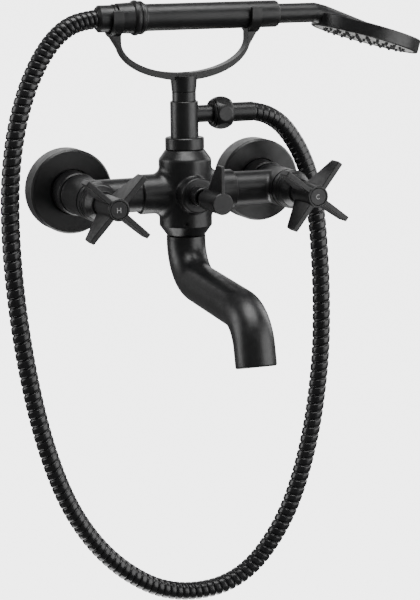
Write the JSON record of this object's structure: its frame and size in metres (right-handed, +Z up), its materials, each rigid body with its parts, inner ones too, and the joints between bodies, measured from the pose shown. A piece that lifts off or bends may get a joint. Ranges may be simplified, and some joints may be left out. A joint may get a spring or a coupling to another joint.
{
  "type": "wall mounted bath faucet",
  "caption": "Exposed wall-mounted bath mixer with cross-handle valves, a swivelling down-turned spout, a diverter lever and a hand shower on a hose resting in a forked cradle.",
  "frame": {"origin": "on the finished wall, midway between the two inlets, at the height of their axes", "axes": "+X along the wall to the viewer's right, -Y out of the wall towards the viewer, +Z up"},
  "size_m": [0.3264, 0.2181, 0.4526],
  "materials": {
    "black_metal": "matte",
    "black_hose": "satin",
    "brass": "machined",
    "steel_screw": "satin",
    "ceramic_disc": "polished ceramic",
    "seal_rubber": "matte",
    "white_plastic": "matte",
    "spray_plate": "satin",
    "nozzle_silicone": "matte"
  },
  "bodies": {
    "mixer": {"hot_inlet_union": "brass", "hot_wall_flange": "black_metal", "hot_union_nut": "black_metal", "hot_inlet_washer": "seal_rubber", "hot_valve_cartridge": "brass", "hot_fixed_disc": "ceramic_disc", "hot_bonnet": "black_metal", "cold_inlet_union": "brass", "cold_wall_flange": "black_metal", "cold_union_nut": "black_metal", "cold_inlet_washer": "seal_rubber", "cold_valve_cartridge": "brass", "cold_fixed_disc": "ceramic_disc", "cold_bonnet": "black_metal", "mixer_body": "black_metal", "spout_set_screw": "black_metal", "diverter_cartridge": "white_plastic", "diverter_gland_ring": "black_metal", "riser_nut": "black_metal", "riser_seal": "seal_rubber", "riser_column": "black_metal", "outlet_check_valve": "white_plastic", "hose_outlet_nut": "black_metal", "hose_outlet_washer": "seal_rubber", "outlet_ferrule": "black_metal", "cradle_collar": "black_metal", "shower_cradle": "black_metal", "cradle_screw": "steel_screw", "shower_hose": "black_hose"},
    "hot_handle": {"hot_moving_disc": "ceramic_disc", "hot_valve_stem": "brass", "hot_stem_o_ring": "seal_rubber", "hot_cross_handle": "black_metal", "hot_handle_screw": "steel_screw", "hot_index_button": "black_metal"},
    "cold_handle": {"cold_moving_disc": "ceramic_disc", "cold_valve_stem": "brass", "cold_stem_o_ring": "seal_rubber", "cold_cross_handle": "black_metal", "cold_handle_screw": "steel_screw", "cold_index_button": "black_metal"},
    "diverter": {"diverter_spindle": "black_metal", "diverter_lever": "black_metal", "diverter_grub_screw": "steel_screw"},
    "spout": {"spout_tube": "black_metal", "spout_o_rings": "seal_rubber", "aerator_housing": "black_metal", "aerator_insert": "white_plastic"},
    "handset": {"handset_hose_nut": "black_metal", "handset_ferrule": "black_metal", "handset_washer": "seal_rubber", "handset_inlet": "black_metal", "handset_sleeve": "black_metal", "handset_ring": "black_metal", "handset_grip": "black_metal", "handset_inner_pipe": "white_plastic", "handset_head": "black_metal", "head_diffuser": "white_plastic", "spray_plate": "spray_plate", "spray_nozzles": "nozzle_silicone"}
  },
  "joints": [
    {"name": "hot_valve_turn", "type": "hinge", "parent": "mixer", "child": "hot_handle", "pos_m": [-0.075, 0, 0], "axis": [0, 1, 0], "range_deg": [0, 90]},
    {"name": "cold_valve_turn", "type": "hinge", "parent": "mixer", "child": "cold_handle", "pos_m": [0.075, 0, 0], "axis": [0, 1, 0], "range_deg": [-90, 0]},
    {"name": "diverter_turn", "type": "hinge", "parent": "mixer", "child": "diverter", "pos_m": [0, 0, 0], "axis": [0, 1, 0], "range_deg": [0, 90]},
    {"name": "spout_swivel", "type": "hinge", "parent": "mixer", "child": "spout", "pos_m": [0, -0.0535, 0], "axis": [0, 0, 1], "range_deg": [-60, 60]},
    {"name": "handset_lift", "type": "slide", "parent": "mixer", "child": "handset", "axis": [0, 0, 1], "range_m": [0, 0.06]}
  ]
}
